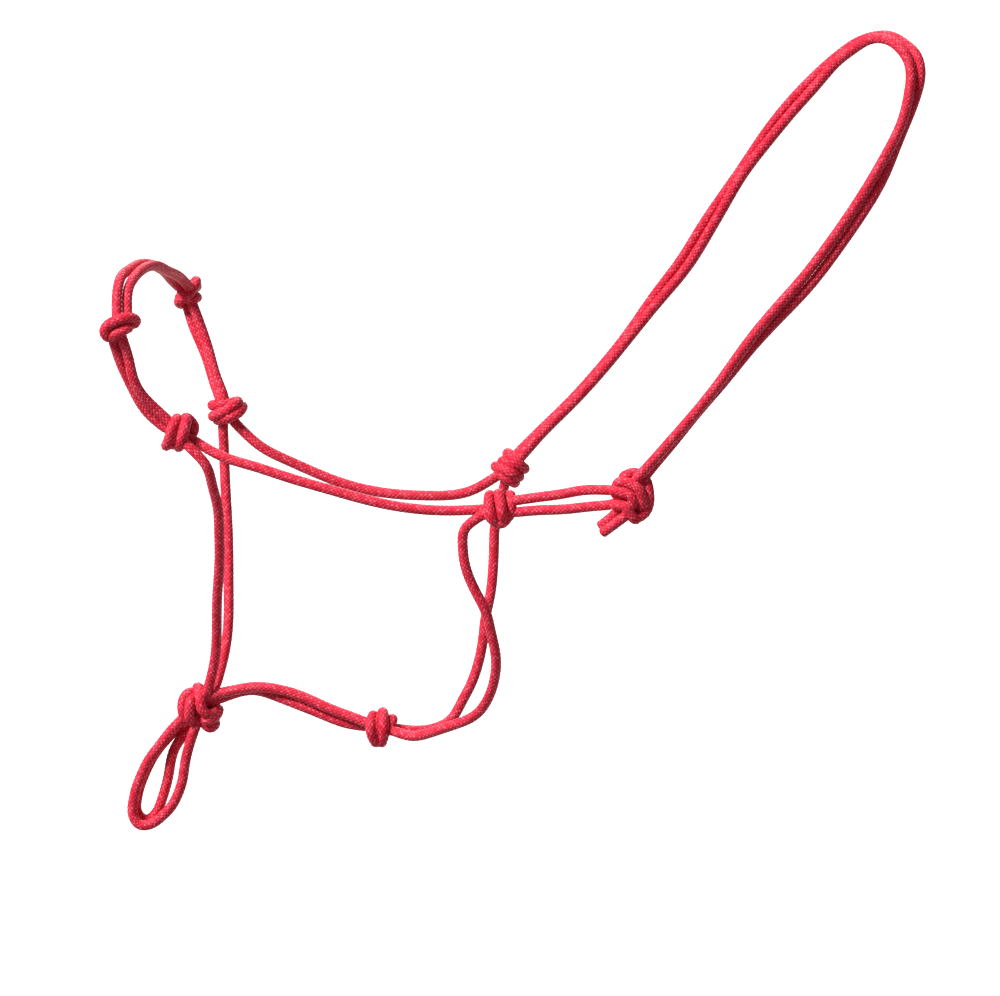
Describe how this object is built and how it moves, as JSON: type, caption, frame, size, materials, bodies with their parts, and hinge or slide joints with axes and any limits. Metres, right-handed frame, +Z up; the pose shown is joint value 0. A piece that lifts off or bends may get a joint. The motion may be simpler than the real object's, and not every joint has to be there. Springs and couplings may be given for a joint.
{
  "type": "rope halter",
  "caption": "Tied rope halter for a horse: a knotted noseband, cheek, throat and crown ropes, lead loops under the jaw and a crown tied at the near cheek.",
  "frame": {"origin": "the underside of the crown's top bend, where it bears on the horse's poll and where the halter hangs", "axes": "+X runs back along the head from nose to poll, +Y to the off side (the horse's right), +Z up; the crown is tied on the near side, at -Y"},
  "size_m": [0.4957, 0.1514, 0.5055],
  "materials": {
    "crown_rope_inner": "satin braid",
    "crown_rope_outer": "satin braid",
    "tie_knot": "satin braid",
    "tie_loop_upper": "satin braid",
    "tie_loop_lower": "satin braid",
    "tail_upper": "satin braid",
    "tail_lower": "satin braid",
    "throat_knot_near": "satin braid",
    "throat_knot_off": "satin braid",
    "cheek_rope_near": "satin braid",
    "cheek_rope_off": "satin braid",
    "cheek_knot_near": "satin braid",
    "cheek_knot_off": "satin braid",
    "chin_rope_near": "satin braid",
    "chin_rope_off": "satin braid",
    "fiador_knot": "satin braid",
    "jaw_rope_upper": "satin braid",
    "jaw_rope_lower": "satin braid",
    "jaw_knot": "satin braid",
    "throat_rope_near": "satin braid",
    "throat_rope_off": "satin braid",
    "noseband_side_near_front": "satin braid",
    "noseband_side_near_back": "satin braid",
    "noseband_side_off_front": "satin braid",
    "noseband_side_off_back": "satin braid",
    "nose_knot_near": "satin braid",
    "nose_knot_off": "satin braid",
    "noseband_bridge_front": "satin braid",
    "noseband_bridge_back": "satin braid",
    "lead_loop_near": "satin braid",
    "lead_loop_off": "satin braid"
  },
  "bodies": {
    "crown": {"crown_rope_inner": "crown_rope_inner", "crown_rope_outer": "crown_rope_outer", "tie_knot": "tie_knot", "tie_loop_upper": "tie_loop_upper", "tie_loop_lower": "tie_loop_lower", "tail_upper": "tail_upper", "tail_lower": "tail_lower"},
    "face": {"throat_knot_near": "throat_knot_near", "throat_knot_off": "throat_knot_off", "cheek_rope_near": "cheek_rope_near", "cheek_rope_off": "cheek_rope_off", "cheek_knot_near": "cheek_knot_near", "cheek_knot_off": "cheek_knot_off", "chin_rope_near": "chin_rope_near", "chin_rope_off": "chin_rope_off", "fiador_knot": "fiador_knot", "jaw_rope_upper": "jaw_rope_upper", "jaw_rope_lower": "jaw_rope_lower", "jaw_knot": "jaw_knot", "throat_rope_near": "throat_rope_near", "throat_rope_off": "throat_rope_off"},
    "noseband": {"noseband_side_near_front": "noseband_side_near_front", "noseband_side_near_back": "noseband_side_near_back", "noseband_side_off_front": "noseband_side_off_front", "noseband_side_off_back": "noseband_side_off_back", "nose_knot_near": "nose_knot_near", "nose_knot_off": "nose_knot_off", "noseband_bridge_front": "noseband_bridge_front", "noseband_bridge_back": "noseband_bridge_back"},
    "lead_loops": {"lead_loop_near": "lead_loop_near", "lead_loop_off": "lead_loop_off"}
  },
  "joints": [
    {"name": "face_swing", "type": "hinge", "parent": "crown", "child": "face", "pos_m": [-0.239, 0, -0.281], "axis": [-0.195, 0.9748, 0.1083], "range_deg": [-35, 35]},
    {"name": "noseband_swing", "type": "hinge", "parent": "face", "child": "noseband", "pos_m": [-0.427, 0, -0.2485], "axis": [0.02, 0.9994, -0.03], "range_deg": [-35, 35]},
    {"name": "lead_loops_swing", "type": "hinge", "parent": "face", "child": "lead_loops", "pos_m": [-0.429, 0, -0.421], "axis": [0, 1, 0], "range_deg": [-45, 60]}
  ]
}
